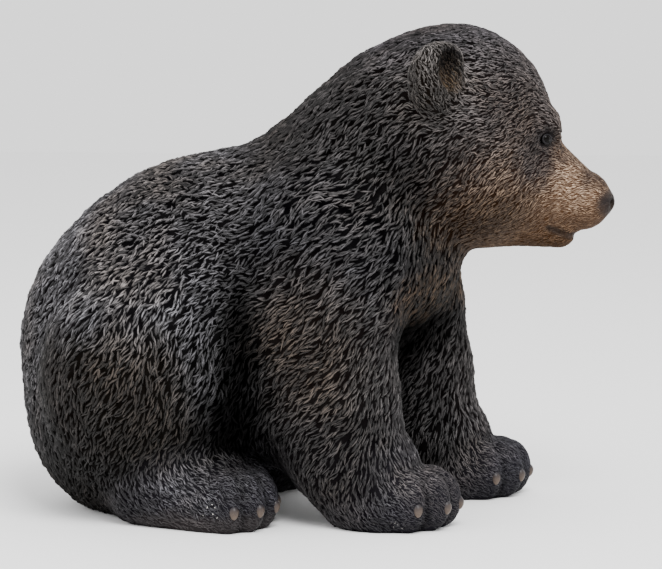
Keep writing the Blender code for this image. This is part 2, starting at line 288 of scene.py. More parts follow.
# Soft patches of other paint, on both sides of the body; some are painted shade in folds and
# hollows
patches = [
    # place and radii in mm, how much of the patch's own paint covers the coat's, how softly it
    # ends as a share of its radii, and its groove and tip paint
    ((127, 28, 207), (15, 16, 17), 0.85, 0.8, (22, 20, 21), (84, 78, 79)),  # dark round each eye
    ((134, 0, 208), (20, 15, 13), 0.8, 0.6, (36, 29, 26), (88, 75, 67)),  # dark bridge of the nose
    ((153, 0, 193), (18, 13, 9), 0.85, 0.6, (38, 30, 26), (86, 73, 65)),  # and on to its tip
    ((0, 84, 106), (30, 30, 42), 0.4, 1.0, (20, 15, 12), (114, 99, 86)),  # brown on the upper arm
    ((-112, 84, 84), (54, 30, 34), 0.34, 1.0, (18, 14, 11), (78, 69, 62)),  # and on the haunch
    ((104, 46, 170), (34, 30, 18), 0.5, 0.8, (34, 24, 15), (142, 114, 82)),  # tan along the jaw
    ((80, 54, 251), (8, 8, 6), 0.7, 0.9, (24, 17, 10), (92, 73, 48)),  # ochre in each ear
    ((160, 0, 165), (16, 20, 14), 0.5, 0.7, (54, 40, 30), (122, 98, 78)),  # dusky lips
    ((-100, 74, 132), (44, 34, 26), 0.8, 0.9, (16, 15, 17), (130, 129, 134)),  # brushed haunch top
    ((66, 0, 282), (62, 56, 26), 0.85, 0.7, (9, 8, 9), (76, 73, 77)),  # crown of the head
    ((34, 54, 44), (48, 40, 26), 0.7, 1.0, (13, 12, 14), (68, 67, 71)),  # dull above the forepaws
    ((-58, 74, 28), (34, 26, 17), 0.7, 0.8, (30, 29, 32), (126, 124, 130)),  # brushed hind feet
    ((54, 60, 34), (22, 26, 13), 0.6, 0.9, (30, 29, 32), (118, 116, 122)),  # and forepaw tops
    ((42, 17, 62), (52, 15, 62), 0.6, 0.5, (6, 5, 5), (58, 55, 55)),  # painted shade on the inner forelegs
    ((-44, 72, 2), (52, 34, 9), 0.6, 0.6, (50, 46, 46), (118, 111, 108)),  # dust on the hind feet
    ((-42, 46, 68), (25, 50, 60), 0.95, 0.9, (1, 1, 1), (16, 15, 15)),  # shade behind the arms
    ((-60, 80, 100), (13, 24, 30), 0.6, 1.0, (12, 12, 13), (116, 115, 120)),  # brushed haunch front
    ((-37, 66, 104), (11, 32, 38), 0.85, 0.9, (3, 3, 3), (28, 27, 28)),  # and painted shade in the fold ahead of it
    ((28, 0, 96), (40, 34, 30), 0.8, 0.5, (3, 2, 2), (26, 24, 24)),  # shade between the forelegs
    ((62, 38, 105), (24, 34, 17), 0.7, 0.6, (2, 2, 2), (26, 24, 24)),  # shade under the ruff
    ((66, 38, 130), (22, 30, 15), 0.75, 0.7, (10, 7, 5), (122, 97, 72)),  # brown edge of the ruff
]


coatSpec = {
    "spread": 4.6,  # mm over which a coat gives way to its neighbour
    "sharpSpread": 0.4,
    "sharpWeight": 12,
    "frayed": 0.12,  # how far a patch's edge wanders, as a share of its radii
    "frayPeriod": 16,
    "creaseSpread": 1.6,  # mm, the dark line where two toes meet: the dry-brush fades there and shade is painted in
    "creaseReach": 9,
    "creaseGroove": 0.7,  # share of the groove paint lost there, painted shade
    "creaseTip": 0.85,
    "topLightSide": 0.62,  # share of the tip paint kept on an upright wall, a painted top light
    "topLightRise": 0.6,  # added where the form faces up, so tops are painted lighter as if lit from above
    "topLightLeast": 0.2,
}


def coatAt(points, normal):  # the fur's lie, style and paint at each point, from the lumps near it; the paint holds painted shade and a painted top light
    flow = np.zeros_like(points)
    style = np.zeros((len(points), len(styleNames)))
    groove = np.zeros_like(points)
    tip = np.zeros_like(points)
    total = np.zeros(len(points))
    nearToe, nextToe = np.full((2, len(points)), farAway)
    for lump in lumps:
        coat = coats[lump["coat"]]
        distance = np.abs(lumpDistance(points, lump))
        if lump["coat"] == "toe":
            nextToe = np.minimum(nextToe, np.maximum(nearToe, distance))
            nearToe = np.minimum(nearToe, distance)
        if coat.get("sharp"):
            nearness = coatSpec["sharpWeight"] * np.exp(-distance / coatSpec["sharpSpread"])
        else:
            nearness = np.exp(-distance / coatSpec["spread"]) + 1e-12
            flow += nearness[:, None] * unit(lump["comb"])
        style += nearness[:, None] * np.array([coat[name] for name in styleNames])
        groove += nearness[:, None] * linear(coat["groove"])
        tip += nearness[:, None] * linear(coat["tip"])
        total += nearness
    total = total[:, None]
    flow -= np.sum(flow * normal, axis=1)[:, None] * normal
    groove /= total
    tip /= total
    mirrored = points * (1, -1, 1)
    for place, radii, amount, edge, patchGroove, patchTip in patches:
        reach = np.minimum(*[np.linalg.norm((spot - place) / radii, axis=1)
                             for spot in (points, mirrored)])
        reach = reach + coatSpec["frayed"] * swell(points, coatSpec["frayPeriod"], 9)
        share = amount * np.clip((1 + edge / 2 - reach) / edge, 0, 1)[:, None]
        groove += share * (linear(patchGroove) - groove)
        tip += share * (linear(patchTip) - tip)
    # where two toes meet the tip paint fades and the groove paint darkens, painted shade in the
    # crease
    crease = np.exp((nearToe - nextToe) / coatSpec["creaseSpread"])
    crease = (crease * (nextToe < coatSpec["creaseReach"]))[:, None]
    groove *= 1 - coatSpec["creaseGroove"] * crease
    tip *= 1 - coatSpec["creaseTip"] * crease
    # painted top light: the tip paint is lighter where the form faces up and darker on walls and
    # undersides
    tipShare = coatSpec["topLightSide"] + coatSpec["topLightRise"] * normal[:, 2]
    tip = groove + np.clip(tipShare, coatSpec["topLightLeast"], 1.0)[:, None] * (tip - groove)
    return {"flow": unit(flow), "style": style / total, "groove": groove, "tip": tip}


def turned(vectors, axis, degrees):
    angle = np.radians(degrees)[:, None]
    return vectors * np.cos(angle) + np.cross(axis, vectors) * np.sin(angle)


def swell(points, period, salt):  # a smooth wandering value from -1 to 1
    rng = np.random.default_rng(salt)
    waves = rng.normal(size=(6, 3)) * 2 * math.pi / period
    phases = rng.uniform(0, 2 * math.pi, 6)
    return np.sin(points @ waves.T + phases).sum(axis=1) / 3


def scrambled(cells, salt):
    mixed = cells @ np.array([127.1, 311.7, 74.7]) + salt * 53.3
    return np.mod(np.sin(mixed) * 43758.5453, 1.0)


def clumpRelief(points, flow, length, width):  # tapered clumps of fur, from 0 to 1 high
    pitch = math.sqrt(length * width) * 0.8
    home = np.floor(points / pitch)
    best = np.zeros(len(points))
    for step in np.ndindex(3, 3, 3):
        cell = home + np.array(step) - 1
        root = np.stack([scrambled(cell, salt) for salt in range(3)], axis=1)
        offset = points - (cell + root) * pitch
        along = np.sum(offset * flow, axis=1) / length
        across = np.linalg.norm(offset - (along * length)[:, None] * flow, axis=1) / width
        taper = np.clip(0.75 - 0.9 * along, 0.1, 1.0)
        height = 1 - (across / taper) ** 2 - (2 * along) ** 2
        best = np.maximum(best, height * (0.8 + 0.4 * along))
    return best


# Mesh helpers

def linked(name, mesh):
    made = bpy.data.objects.new(name, mesh)
    bpy.context.scene.collection.objects.link(made)
    return made


def meshFrom(name, bm):
    mesh = bpy.data.meshes.new(name)
    bm.to_mesh(mesh)
    bm.free()
    return mesh


def fromBmesh(name, bm):
    return linked(name, meshFrom(name, bm))


def vertexArray(mesh):
    places = np.empty(len(mesh.vertices) * 3)
    mesh.vertices.foreach_get("co", places)
    return places.reshape(-1, 3)


def setVertices(mesh, places):
    mesh.vertices.foreach_set("co", places.astype(np.float32).ravel())
    mesh.update()


def triangleArray(mesh):
    mesh.calc_loop_triangles()
    triangles = np.empty(len(mesh.loop_triangles) * 3, np.int32)
    mesh.loop_triangles.foreach_get("vertices", triangles)
    return triangles.reshape(-1, 3)


def setValues(mesh, name, values):
    attribute = mesh.attributes.new(name, "FLOAT", "POINT")
    attribute.data.foreach_set("value", np.ascontiguousarray(values, np.float32))


def setColours(mesh, name, colours):
    attribute = mesh.attributes.new(name, "FLOAT_COLOR", "POINT")
    opaque = np.concatenate([colours, np.ones((len(colours), 1))], axis=1)
    attribute.data.foreach_set("color", opaque.astype(np.float32).ravel())


def settled(obj):
    graph = bpy.context.evaluated_depsgraph_get()
    mesh = bpy.data.meshes.new_from_object(obj.evaluated_get(graph))
    obj.modifiers.clear()
    obj.data = mesh
    return obj


def voxelSkin(obj, step):
    remesh = obj.modifiers.new("skin", "REMESH")
    remesh.mode = "VOXEL"
    remesh.voxel_size = step
    return settled(obj)


def placed(points):  # pattern millimetres to metres, kept within the solid's own box
    margin = 1e-5
    places = (points - pose["middle"]) * metre
    return np.clip(places, np.array(cadLow) + margin, np.array(cadHigh) - margin)


def smoothPiece(name, bm):  # a small piece built in pattern millimetres
    piece = fromBmesh(name, bm)
    setVertices(piece.data, placed(vertexArray(piece.data)))
    piece.data.shade_smooth()
    return piece


# The bare skin: a head and a body that meet under the neck's fur

skinSpec = {
    "coarse": 2.6,  # mm, voxels of the first skin
    "headVoxel": 1.4,
    "bodyVoxel": 2.2,
    "cutPlace": Vector((62, 0, 190)),  # on the plane where head and body part
    "cutWay": Vector((0.75, 0, 0.66)),
    "overlap": 0.8,  # mm that each runs on past that plane
    "under": 1.5,  # mm of skin kept below the floor until it is closed
    "beads": 12,  # balls that stand for one limb in the first skin
    "sways": ((16, 34, 3), (9, 15, 4)),  # slow turns of the lie: degrees, period in mm and salt
    "clumpLength": 15.0,
    "clumpWidth": 6.5,
    "clumpDepth": 1.5,
    "clumpRest": 0.75,  # the height of a clump that stays on the form itself
    "clumpFrom": 0.35,  # clumps start where the locks are this high
    "clumpOver": 0.7,  # and are full after so much more
    "reliefPaint": 0.1,  # tip paint on a clump's top
    "barePaint": 0.45,  # and where there is no fur
    "mottle": 0.3,
    "mottlePeriod": 9,
}


def unitSphere():
    bm = bmesh.new()
    bmesh.ops.create_uvsphere(bm, u_segments=32, v_segments=16, radius=1)
    return meshFrom("unitSphere", bm)


def coarseSkin():
    bm = bmesh.new()
    sphere = unitSphere()
    for lump in lumps:
        if lump["cut"]:
            continue
        if lump["kind"] == "ball":
            shape = Matrix.Rotation(lump["turn"], 4, "Z") @ Matrix.Diagonal((*lump["radii"], 1.0))
            beads = [(lump["start"], shape)]
        else:
            startRadius, endRadius, width = lump["radii"]
            beads = []
            for share in np.linspace(0, 1, skinSpec["beads"]):
                radius = startRadius + share * (endRadius - startRadius)
                centre = lump["start"] + share * (lump["end"] - lump["start"])
                beads.append((centre, Matrix.Diagonal((radius, radius * width, radius, 1.0))))
        for centre, shape in beads:
            bead = sphere.copy()
            bead.transform(Matrix.Translation(centre) @ shape)
            bm.from_mesh(bead)
            bpy.data.meshes.remove(bead)
    skin = voxelSkin(fromBmesh("coarse_skin", bm), skinSpec["coarse"])
    setVertices(skin.data, pulled(vertexArray(skin.data), rounds=4))
    return skin


def cutAway(bm, place, way):  # clears what lies on the side that way points to
    bmesh.ops.bisect_plane(bm, geom=bm.verts[:] + bm.edges[:] + bm.faces[:], dist=1e-4,
                           plane_co=place, plane_no=way, clear_outer=True)


def skinPart(name, coarse, voxel, way):
    skin = linked(name, coarse.data.copy())
    voxelSkin(skin, voxel)
    bm = bmesh.new()
    bm.from_mesh(skin.data)
    cutAway(bm, skinSpec["cutPlace"] + skinSpec["overlap"] * way, way)
    cutAway(bm, Vector((0, 0, -skinSpec["under"])), Vector((0, 0, -1)))
    bmesh.ops.triangulate(bm, faces=[face for face in bm.faces if len(face.verts) > 4])
    bm.to_mesh(skin.data)
    bm.free()
    places = pulled(vertexArray(skin.data))
    normal = formNormal(places)
    coat = coatAt(places, normal)
    sway = sum(degrees * swell(places, period, salt) for degrees, period, salt in skinSpec["sways"])
    coat["flow"] = turned(coat["flow"], normal, sway)
    relief = clumpRelief(places, coat["flow"], skinSpec["clumpLength"], skinSpec["clumpWidth"])
    over = skinSpec["clumpOver"]
    height = np.clip(coat["style"][:, 2] - skinSpec["clumpFrom"], 0, over)
    depth = skinSpec["clumpDepth"] * height / over
    coat["relief"] = relief
    places = places + ((relief - skinSpec["clumpRest"]) * depth)[:, None] * normal
    setVertices(skin.data, places)
    coat.update(places=places, normal=normal, triangles=triangleArray(skin.data))
    return skin, coat


def closeSkin(skin, coat):
    mesh = skin.data
    uncovered = skinSpec["barePaint"] * (1 - coat["style"][:, 5])
    setValues(mesh, "ridge", skinSpec["reliefPaint"] * coat["relief"] + uncovered)
    mottle = skinSpec["mottle"] * swell(coat["places"], skinSpec["mottlePeriod"], 11)
    setValues(mesh, "shade", 0.5 + mottle)
    setColours(mesh, "groovePaint", coat["groove"])
    setColours(mesh, "tipPaint", coat["tip"])
    bm = bmesh.new()
    bm.from_mesh(mesh)
    cutAway(bm, Vector((0, 0, 0)), Vector((0, 0, -1)))
    bmesh.ops.holes_fill(bm, edges=[edge for edge in bm.edges if edge.is_boundary], sides=0)
    bmesh.ops.triangulate(bm, faces=[face for face in bm.faces if len(face.verts) > 4])
    bm.to_mesh(mesh)
    bm.free()
    setVertices(mesh, placed(vertexArray(mesh)))
    mesh.shade_smooth()
    return skin


print("shaping the skin")
coarse = coarseSkin()
headSkin, headCoat = skinPart("cub_head", coarse, skinSpec["headVoxel"], -skinSpec["cutWay"])
bodySkin, bodyCoat = skinPart("cub_body", coarse, skinSpec["bodyVoxel"], skinSpec["cutWay"])
bpy.data.objects.remove(coarse)
print("skin", len(headCoat["triangles"]), "+", len(bodyCoat["triangles"]), "triangles")


# Locks of fur, each a small curved ridge that follows the fur's lie

furSpec = {
    "candidates": 260000,  # places tried for a lock's root
    "along": 0.35,  # room kept to the next lock, as a share of the length
    "across": 0.60,  # and as a share of the width
    "lengths": (0.75, 1.3),  # of a lock, as shares of its coat's length
    "halfWidth": (0.5, 0.88),  # as shares of its width
    "heights": (0.6, 1.25),  # as shares of its height
    "behind": 0.35,  # how far a lock starts behind its place, as a share of its length
    "wander": 12,  # degrees that neighbours turn together
    "wanderPeriod": 7,
    "sink": 0.35,  # mm that a lock's edges reach into the skin
    "rings": 4,  # steps from a lock's root to its tip
    "clearFloor": 1.5,  # mm above the floor that stay bare
    "soleHeight": 25,  # mm, up to where undersides are bare
    "soleSlope": (0.75, 0.2),  # how far down a face looks where that begins, and how fast
    "smallLock": 6.0,  # mm; shorter locks get the short shape
    "faceFrom": 96,  # where the face's piece begins, along +X
    "frontFrom": -28,  # and the forequarters'
}


def joinedCoat(parts):
    joined = {}
    offset = 0
    for name in parts[0]:
        joined[name] = np.concatenate([part[name] for part in parts])
    start = 0
    for part in parts:
        count = len(part["triangles"])
        joined["triangles"][start:start + count] += offset
        start += count
        offset += len(part["places"])
    return joined


def furRoots(coat):  # evenly spaced roots, closer where the locks are small
    rng = np.random.default_rng(seed)
    corner = coat["places"][coat["triangles"]]
    across, up = corner[:, 1] - corner[:, 0], corner[:, 2] - corner[:, 0]
    area = np.linalg.norm(np.cross(across, up), axis=1)
    style = coat["style"][coat["triangles"]].mean(axis=1)
    normal = coat["normal"][coat["triangles"]].mean(axis=1)
    slope, fade = furSpec["soleSlope"]
    low = corner[:, 0, 2] < furSpec["soleHeight"]
    downward = np.clip((-normal[:, 2] - slope) / fade, 0, 1) * low
    clear = corner[:, :, 2].min(axis=1) > furSpec["clearFloor"]
    weight = area / (style[:, 0] * style[:, 1]) * clear * (1 - downward)
    chosen = rng.choice(len(weight), furSpec["candidates"], p=weight / weight.sum())
    share = rng.dirichlet((1, 1, 1), len(chosen))
    chosenCorners = coat["triangles"][chosen]
    mixed = {name: np.einsum("ij,ijk->ik", share, coat[name][chosenCorners])
             for name in ("places", "flow", "style", "groove", "tip")}
    keep = rng.random(len(chosen)) < mixed["style"][:, 5]
    mixed = {name: values[keep] for name, values in mixed.items()}
    return thinned(mixed)


def thinned(roots):
    places = roots["places"]
    tree = KDTree(len(places))
    for index, place in enumerate(places):
        tree.insert(place, index)
    tree.balance()
    alongRoom = roots["style"][:, 0] * furSpec["along"]
    acrossRoom = roots["style"][:, 1] * furSpec["across"]
    flow = unit(roots["flow"])
    alive = np.ones(len(places), bool)
    for index in range(len(places)):
        if not alive[index]:
            continue
        near = np.array([other for _, other, _ in tree.find_range(places[index], alongRoom[index])
                         if other > index], int)
        if not len(near):
            continue
        offset = places[near] - places[index]
        along = offset @ flow[index]
        across = np.sqrt(np.maximum((offset * offset).sum(axis=1) - along * along, 0))
        crowded = (along / alongRoom[index]) ** 2 + (across / acrossRoom[index]) ** 2 < 1
        alive[near[crowded]] = False
    return {name: values[alive] for name, values in roots.items()}


def layLocks(coat, roots):  # walks each lock over the skin, from root to tip
    rng = np.random.default_rng(seed + 1)
    count = len(roots["places"])
    tree = BVHTree.FromPolygons(coat["places"].tolist(), coat["triangles"].tolist())
    faceNormal = unit(coat["normal"][coat["triangles"]].mean(axis=1))
    faceFlow = unit(coat["flow"][coat["triangles"]].mean(axis=1))
    length = roots["style"][:, 0] * rng.uniform(*furSpec["lengths"], count)
    heading = roots["style"][:, 3] * rng.normal(size=count)
    curl = roots["style"][:, 4] * rng.normal(size=count)
    wander = furSpec["wander"] * swell(roots["places"], furSpec["wanderPeriod"], 5)
    steps = furSpec["rings"]
    stride = length / steps
    place = roots["places"] - furSpec["behind"] * length[:, None] * unit(roots["flow"])
    path = []
    for step in range(steps + 1):
        found = [tree.find_nearest(spot) for spot in place.tolist()]
        face = np.array([hit[2] for hit in found])
        place = np.array([hit[0] for hit in found])
        normal = faceNormal[face]
        bend = heading + wander + curl * (step / steps - 0.5)
        way = unit(turned(faceFlow[face], normal, bend))
        path.append((place, normal, way))
        place = place + stride[:, None] * way
    return path


# A lock's own shape: a three-sided spindle with one edge up, from root to tip

lockShapes = {
    "long": {
        "stations": (0, 1, 2, 3, 4),  # steps of the lock's path that its rings stand at
        "reach": (0.0, 0.72, 1.0, 0.74, 0.0),  # half width at each ring, root first
        "lift": (-0.15, 0.6, 1.0, 0.85, 0.1),  # ridge height at each ring
        "ridge": (0.0, 0.75, 1.0, 0.95, 0.35),  # how much of the tip paint each ring takes
    },
    "short": {
        "stations": (0, 1, 3, 4),
        "reach": (0.0, 0.95, 0.8, 0.0),
        "lift": (-0.15, 0.85, 0.95, 0.1),
        "ridge": (0.0, 0.9, 1.0, 0.35),
    },
}


def lockTemplate(rings):  # the ring, side and ridge of each corner, and each face's corners
    bm = bmesh.new()
    bmesh.ops.create_uvsphere(bm, u_segments=3, v_segments=rings, radius=1)
    heights = sorted({round(vert.co.z, 4) for vert in bm.verts}, reverse=True)
    ring = np.array([heights.index(round(vert.co.z, 4)) for vert in bm.verts])
    across = np.array([-np.sign(round(vert.co.x, 4)) for vert in bm.verts])
    ridge = np.array([vert.co.y > 0.5 for vert in bm.verts])
    faces = [[vert.index for vert in face.verts] for face in bm.faces]
    bm.free()
    return ring, across, ridge, faces


def lockMap(ring, across, ridge, faces, rings):  # each face corner's place in a lock's own square
    spots = []
    for face in faces:
        middle, spread = (0.38, 0.32) if any(ridge[vert] for vert in face) else (0.88, 0.06)
        for vert in face:
            spots.append((0.06 + 0.88 * ring[vert] / rings, middle + spread * across[vert]))
    return np.array(spots)


def buildLocks(name, path, roots, chosen, shapeName, salt):
    rng = np.random.default_rng(seed + salt)
    shape = lockShapes[shapeName]
    rings = len(shape["stations"]) - 1
    ring, across, ridge, faces = lockTemplate(rings)
    count, corners = len(chosen), len(ring)
    style = roots["style"][chosen]
    halfWidth = style[:, 1] * rng.uniform(*furSpec["halfWidth"], count)
    height = style[:, 2] * rng.uniform(*furSpec["heights"], count)
    points = np.empty((count, corners, 3))
    for vert in range(corners):
        step = ring[vert]
        place, normal, way = (part[chosen] for part in path[shape["stations"][step]])
        aside = np.cross(normal, way)
        reach = shape["reach"][step] * halfWidth * across[vert]
        if ridge[vert] or step in (0, rings):
            lift = shape["lift"][step] * height
        else:
            lift = np.full(count, -furSpec["sink"])
        points[:, vert] = place + reach[:, None] * aside + lift[:, None] * normal
    mesh = bpy.data.meshes.new(name)
    sizes = np.array([len(face) for face in faces])
    loops = np.concatenate([np.array(face) for face in faces])
    starts = np.concatenate([[0], np.cumsum(sizes)[:-1]])
    each = np.arange(count)[:, None]
    mesh.vertices.add(count * corners)
    mesh.loops.add(count * len(loops))
    mesh.polygons.add(count * len(faces))
    mesh.vertices.foreach_set("co", placed(points.reshape(-1, 3)).astype(np.float32).ravel())
    mesh.loops.foreach_set("vertex_index", (loops + each * corners).astype(np.int32).ravel())
    mesh.polygons.foreach_set("loop_start", (starts + each * len(loops)).astype(np.int32).ravel())
    mesh.update(calc_edges=True)
    level = np.array([shape["ridge"][step] for step in ring]) * (ridge | (ring == rings))
    setValues(mesh, "ridge", np.tile(level, count))
    setValues(mesh, "side", np.tile(np.where(ridge, 0, across), count))  # -1 to 1 over its width
    setValues(mesh, "shade", np.repeat(rng.random(count), corners))
    setColours(mesh, "groovePaint", np.repeat(roots["groove"][chosen], corners, axis=0))
    setColours(mesh, "tipPaint", np.repeat(roots["tip"][chosen], corners, axis=0))
    columns = math.ceil(math.sqrt(count))
    squares = np.stack([each[:, 0] % columns, each[:, 0] // columns], axis=1)
    spots = lockMap(ring, across, ridge, faces, rings)
    layer = mesh.uv_layers.new(name="OFBake")
    uvs = (squares[:, None] + spots[None]) / columns
    layer.data.foreach_set("uv", uvs.astype(np.float32).ravel())
    mesh.shade_smooth()
    return linked(name, mesh)


print("combing the fur")
wholeCoat = joinedCoat([headCoat, bodyCoat])
roots = furRoots(wholeCoat)
path = layLocks(wholeCoat, roots)
rootPlace = roots["places"]
inHead = (rootPlace - np.array(skinSpec["cutPlace"])) @ np.array(skinSpec["cutWay"]) > 0
small = roots["style"][:, 0] < furSpec["smallLock"]
onFace = rootPlace[:, 0] > furSpec["faceFrom"]
inFront = rootPlace[:, 0] > furSpec["frontFrom"]
onLeft = rootPlace[:, 1] > 0
furPieces = {
    "fur_nape": (inHead & ~small, "long"),
    "fur_crown": (inHead & small & ~onFace, "short"),
    "fur_face": (inHead & small & onFace, "short"),
    "fur_paws_front": (~inHead & small & inFront, "short"),
    "fur_paws_rear": (~inHead & small & ~inFront, "short"),
    "fur_front_right": (~inHead & ~small & inFront & ~onLeft, "long"),
    "fur_front_left": (~inHead & ~small & inFront & onLeft, "long"),
    "fur_rear_right": (~inHead & ~small & ~inFront & ~onLeft, "long"),
    "fur_rear_left": (~inHead & ~small & ~inFront & onLeft, "long"),
}
furObjects = []
for salt, (name, (mask, shapeName)) in enumerate(furPieces.items()):
    furObjects.append(buildLocks(name, path, roots, np.flatnonzero(mask), shapeName, salt))
    print(name, int(mask.sum()), shapeName, "locks")
closeSkin(headSkin, headCoat)
closeSkin(bodySkin, bodyCoat)


# Eyes and claws

eyeSpec = {"radius": 3.1, "ahead": 1.6, "segments": 32, "outward": Vector((0.66, 0.75, 0.02))}
lidSpec = {"radius": 2.95, "thickness": 0.8, "ahead": 3.1, "flatness": 0.84, "round": 10,
           "steps": 28}
clawSpec = {"length": 8.8, "radius": 2.9, "pitch": 74, "drop": 1.5, "sunk": 0.35, "taper": 0.16,
            "droop": 0.25, "segments": (12, 10)}


def makeEyes():
    bm = bmesh.new()
    segments = eyeSpec["segments"]
    for side in sides:
        outward = eyeSpec["outward"] * Vector((1, side, 1))
        centre = Vector(pose["eye"] * (1, side, 1)) + eyeSpec["ahead"] * outward
        bmesh.ops.create_uvsphere(bm, u_segments=segments, v_segments=segments // 2,
                                  radius=eyeSpec["radius"], matrix=Matrix.Translation(centre))
    return smoothPiece("eyes", bm)


def makeLids():  # a rim of skin round each eye, a little flatter than round
    bm = bmesh.new()
    for side in sides:
        outward = eyeSpec["outward"] * Vector((1, side, 1))
        turn = outward.to_track_quat("Z", "Y").to_matrix().to_4x4()
        upright = Matrix.Rotation(math.radians(90), 4, "X")
        ring = bmesh.ops.create_circle(
            bm, segments=lidSpec["round"], radius=lidSpec["thickness"],
            matrix=Matrix.Translation((lidSpec["radius"], 0, 0)) @ upright)["verts"]
        edges = list({edge for vert in ring for edge in vert.link_edges})
        bmesh.ops.spin(bm, geom=ring + edges, cent=(0, 0, 0), axis=(0, 0, 1),
                       steps=lidSpec["steps"], angle=2 * math.pi, use_merge=True)
        verts = [vert for vert in bm.verts if not vert.tag]
        centre = Vector(pose["eye"] * (1, side, 1)) + lidSpec["ahead"] * outward
        flat = Matrix.Diagonal((1, lidSpec["flatness"], 1, 1))
        bmesh.ops.transform(bm, verts=verts, matrix=Matrix.Translation(centre) @ turn @ flat)
        for vert in bm.verts:
            vert.tag = True
    bmesh.ops.recalc_face_normals(bm, faces=bm.faces)
    return smoothPiece("eye_rims", bm)


def clawShape():
    bm = bmesh.new()
    around, rows = clawSpec["segments"]
    radius = clawSpec["radius"]
    bmesh.ops.create_uvsphere(bm, u_segments=around, v_segments=rows, radius=1)
    bmesh.ops.rotate(bm, verts=bm.verts, matrix=Matrix.Rotation(math.radians(90), 3, "Y"))
    for vert in bm.verts:
        along = vert.co.x
        taper = 1 - clawSpec["taper"] * max(along, 0)
        vert.co.x = along * clawSpec["length"] / 2
        vert.co.y *= radius * taper
        vert.co.z = vert.co.z * radius * taper - clawSpec["droop"] * radius * along * along
    return meshFrom("clawShape", bm)


def makeClaws():
    shape = clawShape()
    along = vertexArray(shape)[:, 0] / clawSpec["length"] + 0.5
    bm = bmesh.new()
    frames = [toe for side in sides for toe in hindToes(side) + foreToes(side)]
    for middle, heading in frames:
        outward = Matrix.Rotation(math.radians(heading), 4, "Z")
        down = Matrix.Rotation(math.radians(clawSpec["pitch"]), 4, "Y")
        ahead = np.array(outward.col[0][:3])
        front = np.array(middle) + pose["toeRadii"][0] * ahead - (0, 0, clawSpec["drop"])
        seat = pulled(front[None])[0] - clawSpec["sunk"] * clawSpec["radius"] * ahead
        one = shape.copy()
        one.transform(Matrix.Translation(Vector(seat)) @ outward @ down)
        bm.from_mesh(one)
        bpy.data.meshes.remove(one)
    claws = smoothPiece("claws", bm)
    setValues(claws.data, "along", np.tile(along, len(frames)))
    return claws


print("eyes and claws")
eyes = makeEyes()
lids = makeLids()
claws = makeClaws()


# Materials

def newMaterial(name):
    material = bpy.data.materials.new(name)
    material.use_nodes = True
    nodes, links = material.node_tree.nodes, material.node_tree.links
    return material, nodes, links, nodes["Principled BSDF"]


def attributeNode(nodes, name, output="Fac"):
    node = nodes.new("ShaderNodeAttribute")
    node.attribute_name = name
    return node.outputs[output]


def noiseNode(nodes, links, scale, detail=3.0):
    place = nodes.new("ShaderNodeTexCoord")
    noise = nodes.new("ShaderNodeTexNoise")
    noise.inputs["Scale"].default_value = scale
    noise.inputs["Detail"].default_value = detail
    links.new(place.outputs["Object"], noise.inputs["Vector"])
    return noise.outputs["Fac"]


def mathNode(nodes, links, operation, first, second):
    node = nodes.new("ShaderNodeMath")
    node.operation = operation
    for socket, value in zip(node.inputs, (first, second)):
        if isinstance(value, (int, float)):
            socket.default_value = value
        else:
            links.new(value, socket)
    return node.outputs[0]


def rangeNode(nodes, links, value, low, high, toLow, toHigh):
    node = nodes.new("ShaderNodeMapRange")
    limits = {"From Min": low, "From Max": high, "To Min": toLow, "To Max": toHigh}
    for name, number in limits.items():
        node.inputs[name].default_value = number
    links.new(value, node.inputs["Value"])
    return node.outputs["Result"]


def noiseRange(nodes, links, scale, limits):
    return rangeNode(nodes, links, noiseNode(nodes, links, scale), *limits)


def mixNode(nodes, links, factor, first, second, blend="MIX"):
    node = nodes.new("ShaderNodeMix")
    node.data_type = "RGBA"
    node.blend_type = blend
    for index, value in ((0, factor), (6, first), (7, second)):
        socket = node.inputs[index]
        if isinstance(value, (int, float)):
            socket.default_value = value
        elif isinstance(value, tuple):
            socket.default_value = (*linear(value), 1)
        else:
            links.new(value, socket)
    return node.outputs[2]


paintSpec = {
    # scales are per metre; limits are a range of noise, then what it becomes
    "ridgeSharpness": 2.4,
    "shadeLimits": (0, 1, 0.12, 1.3),  # from one lock to the next
    "strands": 5.5,  # how closely the fine hairs run along a lock
    "strandStart": 40.0,  # how far they are shifted from lock to lock
    "strandLimits": (-1, 1, 0.35, 1.6),
    "patchScale": 38,  # grey patches
    "patchLimits": (0.32, 0.68, 0.55, 1.15),
    "brownScale": 18,  # warmer ones
    "brownLimits": (0.48, 0.66, 0, 1),
    "brownTint": (255, 244, 230),
    "fleckScale": 420,  # flecks where the brush skipped
    "fleckLimits": (0.34, 0.66, 0.5, 1.35),
    "speckScale": 700,
    "speckLimits": (0.66, 0.7, 0, 1),
    "speckColour": (206, 202, 196),
    "specks": (((-0.0502, -0.0859, 0.0148), 0.009, 1.0), ((0.0375, -0.078, 0.0075), 0.006, 0.4),
               ((0.054, -0.076, 0.006), 0.006, 0.4)),  # white chips: where, how far, how plain
    "grainScale": 1600,
    "roughness": (0.42, 0.6),
    "bump": 0.0002,
    "hairBump": 0.35,
    "sheen": 0.25,
    "sheenTip": 0.04,  # tip paint that has full sheen; darker tip paint has less, and the painted shade has none
}
eyePaintSpec = {"scale": 400, "dark": (4, 3, 3), "light": (14, 10, 8), "smearScale": 900,
                "roughness": (0.08, 0.16), "bump": 0.00003, "sheen": 0.07}
clawPaintSpec = {"scale": 600, "dark": (34, 33, 37), "light": (88, 76, 67),
                 "tipLimits": (0.3, 0.9, 0.1, 1.0), "grainLimits": (0.3, 0.7, 0.75, 1.1),
                 "roughness": (0.34, 0.5), "bump": 0.0001, "sheen": 0.22}
lidPaintSpec = {"scale": 500, "dark": (12, 11, 12), "light": (30, 28, 30),
                "limits": (0.35, 0.65, 0, 1), "roughness": (0.42, 0.6), "bump": 0.0002,
                "sheen": 0.15}


